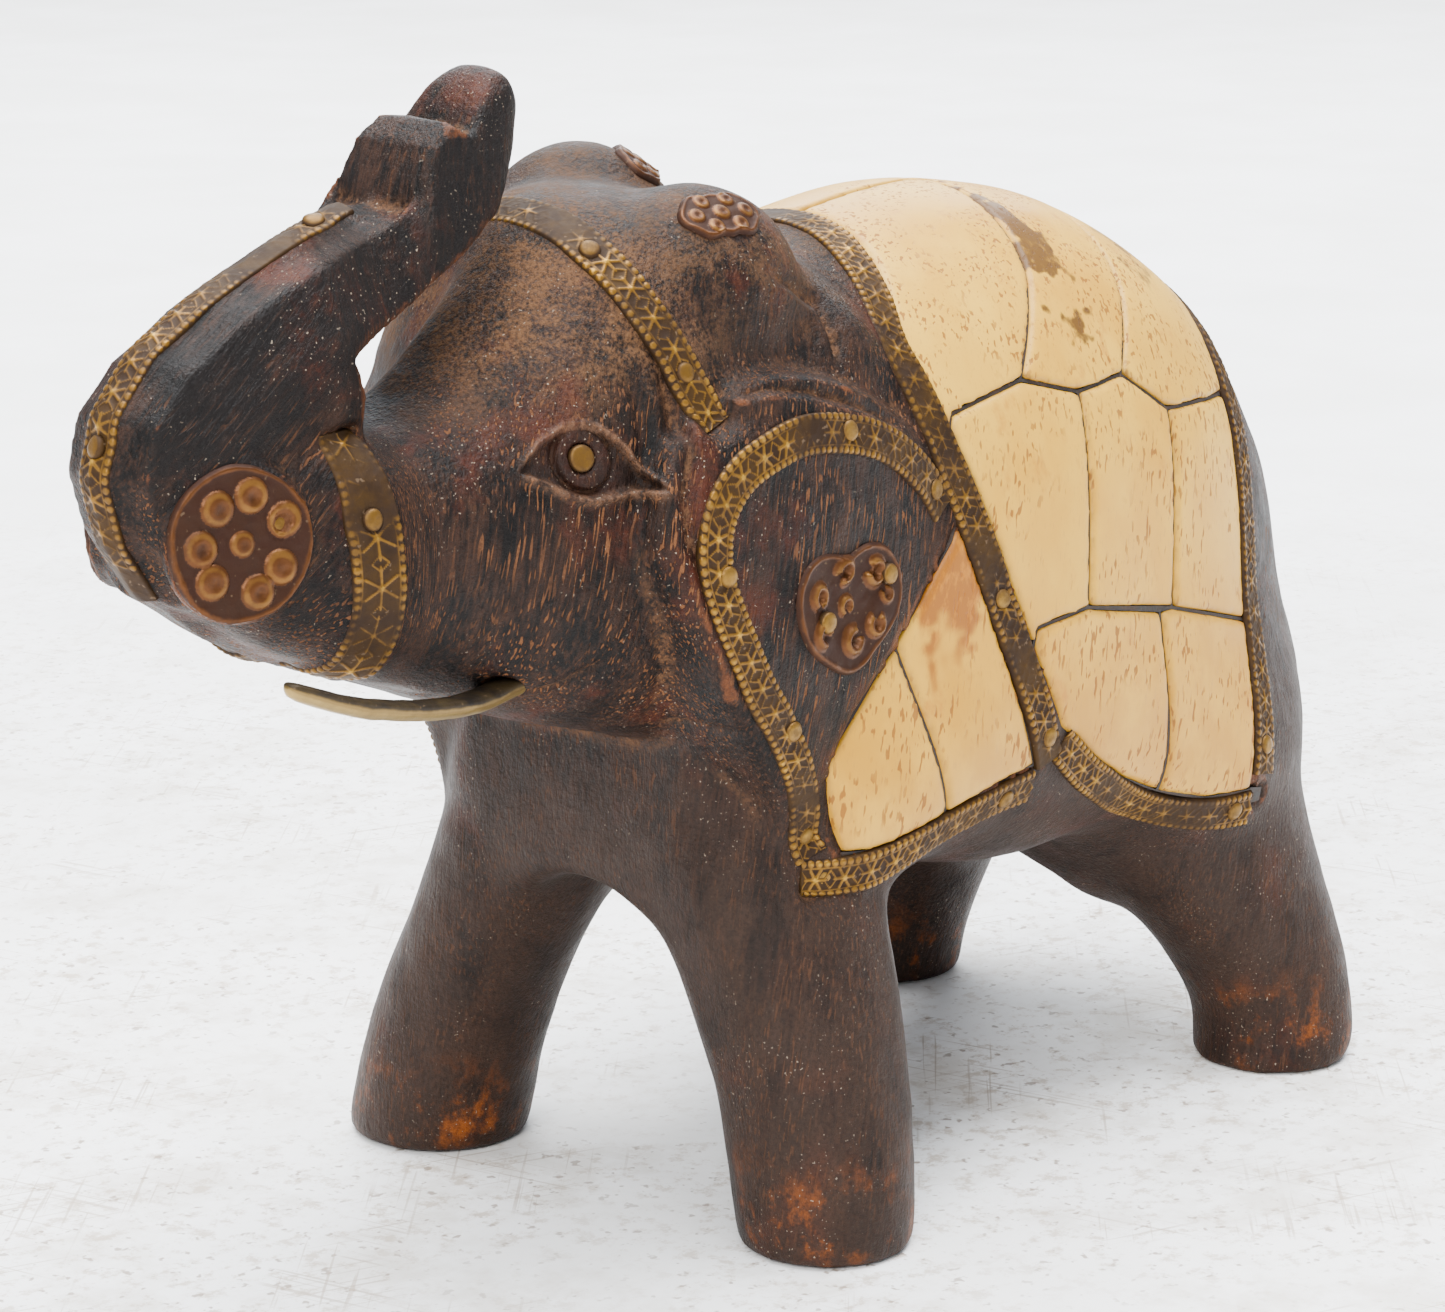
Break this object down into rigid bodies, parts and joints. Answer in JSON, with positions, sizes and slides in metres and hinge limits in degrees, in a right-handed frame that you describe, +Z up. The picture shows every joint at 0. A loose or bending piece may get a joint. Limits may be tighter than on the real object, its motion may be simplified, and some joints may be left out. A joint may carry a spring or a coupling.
{
  "type": "elephant figurine",
  "caption": "Standing carved wooden elephant with raised trunk, bone tile saddle and shoulder inlays, and embossed brass strips, ornaments and nails.",
  "frame": {"origin": "on the ground under the middle of the bounding box", "axes": "+X from the trunk towards the tail, +Y to the elephant's right, +Z up"},
  "size_m": [0.1428, 0.0604, 0.0975],
  "materials": {
    "dark_wood": "aged dark stain, satin, worn red-brown on edges",
    "bone": "aged cream bone with ochre pores, satin",
    "lac": "dark brown lac filler",
    "strip_brass": "embossed thin brass, darkened in its hollows",
    "ornament_brass": "repousse brass, red-brown patina",
    "nail_brass": "rubbed brass",
    "tusk_brass": "tarnished brass"
  },
  "bodies": {
    "root": {"carved_body": "dark_wood", "crown_medallion_left": "ornament_brass", "crown_medallion_right": "ornament_brass", "ear_medallion_left": "ornament_brass", "ear_medallion_right": "ornament_brass", "ear_nails_left": "nail_brass", "ear_nails_right": "nail_brass", "ear_strip_left": "strip_brass", "ear_strip_right": "strip_brass", "eye_stud_left": "nail_brass", "eye_stud_right": "nail_brass", "head_band": "strip_brass", "head_band_nails_left": "nail_brass", "head_band_nails_right": "nail_brass", "saddle_bone_left_1": "bone", "saddle_bone_left_2": "bone", "saddle_bone_left_3": "bone", "saddle_bone_left_4": "bone", "saddle_bone_left_5": "bone", "saddle_bone_left_6": "bone", "saddle_bone_left_7": "bone", "saddle_bone_left_8": "bone", "saddle_bone_right_1": "bone", "saddle_bone_right_2": "bone", "saddle_bone_right_3": "bone", "saddle_bone_right_4": "bone", "saddle_bone_right_5": "bone", "saddle_bone_right_6": "bone", "saddle_bone_right_7": "bone", "saddle_bone_right_8": "bone", "saddle_front_strip": "strip_brass", "saddle_hem_strip_left": "strip_brass", "saddle_hem_strip_right": "strip_brass", "saddle_lac_bed_left": "lac", "saddle_lac_bed_right": "lac", "saddle_nails_left": "nail_brass", "saddle_nails_right": "nail_brass", "saddle_rear_strip": "strip_brass", "shoulder_bone_left_1": "bone", "shoulder_bone_left_2": "bone", "shoulder_bone_right_1": "bone", "shoulder_bone_right_2": "bone", "shoulder_lac_bed_left": "lac", "shoulder_lac_bed_right": "lac", "shoulder_nails_left": "nail_brass", "shoulder_nails_right": "nail_brass", "shoulder_strip_left": "strip_brass", "shoulder_strip_right": "strip_brass", "trunk_disc_left": "ornament_brass", "trunk_disc_nails_left": "nail_brass", "trunk_disc_nails_right": "nail_brass", "trunk_disc_right": "ornament_brass", "trunk_strap_left": "strip_brass", "trunk_strap_nails_left": "nail_brass", "trunk_strap_nails_right": "nail_brass", "trunk_strap_right": "strip_brass", "trunk_strip": "strip_brass", "trunk_strip_nails": "nail_brass", "tusk_left": "tusk_brass"}
  },
  "joints": []
}
